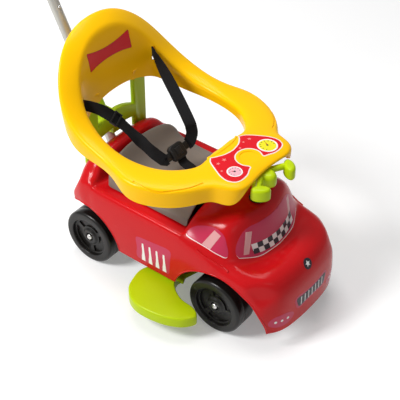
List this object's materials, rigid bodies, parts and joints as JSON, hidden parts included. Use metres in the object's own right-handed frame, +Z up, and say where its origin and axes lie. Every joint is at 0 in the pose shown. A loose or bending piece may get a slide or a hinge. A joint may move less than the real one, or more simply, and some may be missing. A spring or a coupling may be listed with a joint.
{
  "type": "foot-to-floor ride-on car",
  "caption": "Foot-to-floor ride-on car with a guard ring and tray, harness, fold-in footrests, a parent's push handle and steered front wheels.",
  "frame": {"origin": "the floor point under the middle of the whole model's bounding box", "axes": "+Z up, -Y the car's front, +X the rider's left; X is the car's axis of symmetry"},
  "size_m": [0.451, 0.8684, 0.9081],
  "materials": {
    "red_plastic": "smooth gloss",
    "yellow_plastic": "smooth gloss",
    "lime_plastic": "satin gloss",
    "grey_plastic": "fine-grained satin",
    "black_plastic": "satin",
    "steel": "bright drawn steel",
    "black_webbing": "woven polyester webbing"
  },
  "bodies": {
    "car_body": {"back_frame": "lime_plastic", "body_shell": "red_plastic", "buckle_body": "black_plastic", "buckle_tongue_left": "black_plastic", "buckle_tongue_right": "black_plastic", "chassis": "black_plastic", "chassis_screw_front_left": "steel", "chassis_screw_front_right": "steel", "chassis_screw_rear_left": "steel", "chassis_screw_rear_right": "steel", "column_bush": "black_plastic", "crotch_strap": "black_webbing", "footrest_carrier": "lime_plastic", "footrest_pivot_left": "steel", "footrest_pivot_right": "steel", "guard_ring": "yellow_plastic", "lid_pin_left": "steel", "lid_pin_right": "steel", "lower_push_tube": "steel", "push_handle": "lime_plastic", "rear_axle": "steel", "rear_cap_left": "steel", "rear_cap_right": "steel", "shoulder_strap_left": "black_webbing", "shoulder_strap_right": "black_webbing", "snap_spring_leg": "steel", "strap_anchor_left": "black_plastic", "strap_anchor_right": "black_plastic", "toy_bin": "black_plastic", "upper_push_tube": "steel"},
    "steering": {"steering_yoke": "black_plastic", "steering_column": "steel", "handlebar": "lime_plastic", "front_axle": "steel", "front_cap_left": "steel", "front_cap_right": "steel"},
    "front_wheel_left": {"front_wheel_left": "black_plastic"},
    "front_wheel_right": {"front_wheel_right": "black_plastic"},
    "rear_wheel_left": {"rear_wheel_left": "black_plastic"},
    "rear_wheel_right": {"rear_wheel_right": "black_plastic"},
    "seat_lid": {"seat_lid": "grey_plastic"},
    "footrest_left": {"footrest_left": "lime_plastic"},
    "footrest_right": {"footrest_right": "lime_plastic"},
    "snap_button": {"snap_button": "steel"},
    "buckle_release": {"buckle_release": "black_plastic"}
  },
  "joints": [
    {"name": "steering_turn", "type": "hinge", "parent": "car_body", "child": "steering", "pos_m": [0, -0.2942, 0.1], "axis": [0, 0, 1], "range_deg": [-12, 12]},
    {"name": "front_wheel_left_spin", "type": "hinge", "parent": "steering", "child": "front_wheel_left", "pos_m": [0.1125, -0.2942, 0.062], "axis": [1, 0, 0], "continuous": true},
    {"name": "front_wheel_right_spin", "type": "hinge", "parent": "steering", "child": "front_wheel_right", "pos_m": [-0.1125, -0.2942, 0.062], "axis": [1, 0, 0], "continuous": true},
    {"name": "rear_wheel_left_spin", "type": "hinge", "parent": "car_body", "child": "rear_wheel_left", "pos_m": [0.1125, 0.0398, 0.062], "axis": [1, 0, 0], "continuous": true},
    {"name": "rear_wheel_right_spin", "type": "hinge", "parent": "car_body", "child": "rear_wheel_right", "pos_m": [-0.1125, 0.0398, 0.062], "axis": [1, 0, 0], "continuous": true},
    {"name": "seat_lid_hinge", "type": "hinge", "parent": "car_body", "child": "seat_lid", "pos_m": [0, -0.1912, 0.229], "axis": [1, 0, 0], "range_deg": [0, 12]},
    {"name": "footrest_left_fold", "type": "hinge", "parent": "car_body", "child": "footrest_left", "pos_m": [0.105, -0.1702, 0.052], "axis": [0, 0, 1], "range_deg": [0, 135]},
    {"name": "footrest_right_fold", "type": "hinge", "parent": "car_body", "child": "footrest_right", "pos_m": [-0.105, -0.1702, 0.052], "axis": [0, 0, -1], "range_deg": [0, 135]},
    {"name": "snap_button_press", "type": "slide", "parent": "car_body", "child": "snap_button", "axis": [0, 0.8962, -0.4436], "range_m": [0, 0.003], "stiffness_N_per_m": 900, "springref_m": -0.002},
    {"name": "buckle_release_press", "type": "slide", "parent": "car_body", "child": "buckle_release", "axis": [0, 0.7314, -0.682], "range_m": [0, 0.003], "stiffness_N_per_m": 900, "springref_m": -0.002}
  ]
}
